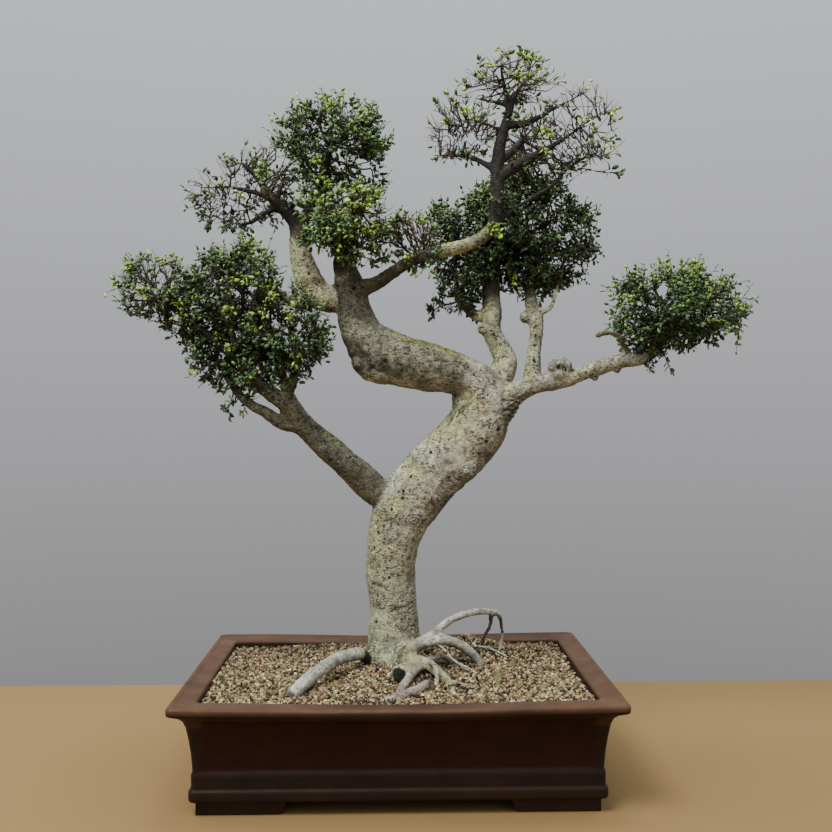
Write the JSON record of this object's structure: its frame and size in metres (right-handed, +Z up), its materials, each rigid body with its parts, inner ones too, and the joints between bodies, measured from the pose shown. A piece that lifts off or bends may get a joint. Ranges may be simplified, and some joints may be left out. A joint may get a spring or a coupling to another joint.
{
  "type": "chinese elm bonsai",
  "caption": "Chinese elm bonsai with a leaning trunk that doubles back, clouds of small leaves on bare limbs and arched surface roots, in gritty soil in a rectangular footed pot.",
  "frame": {"origin": "on the surface that the pot's feet stand on, under the middle of the object's bounding box", "axes": "+Z up the tree, +X to the right along the pot's long side as the picture shows it, +Y to the back"},
  "size_m": [0.8408, 0.364, 0.9234],
  "materials": {
    "stoneware": "matte",
    "screen": "matte",
    "soil": "matte",
    "bark": "matte",
    "leaf": "satin"
  },
  "bodies": {
    "root": {"pot": "stoneware", "drain_screen_left": "screen", "drain_screen_right": "screen", "soil": "soil", "trunk_branches_and_roots": "bark", "cut_root_stub": "bark", "foliage_left": "leaf", "foliage_left_tip": "leaf", "foliage_upper_left": "leaf", "foliage_top_left": "leaf", "foliage_centre": "leaf", "foliage_centre_right": "leaf", "foliage_crown_top": "leaf", "foliage_crown_left": "leaf", "foliage_crown_right": "leaf", "foliage_crown_back": "leaf", "foliage_right": "leaf", "foliage_far_right": "leaf"}
  },
  "joints": []
}
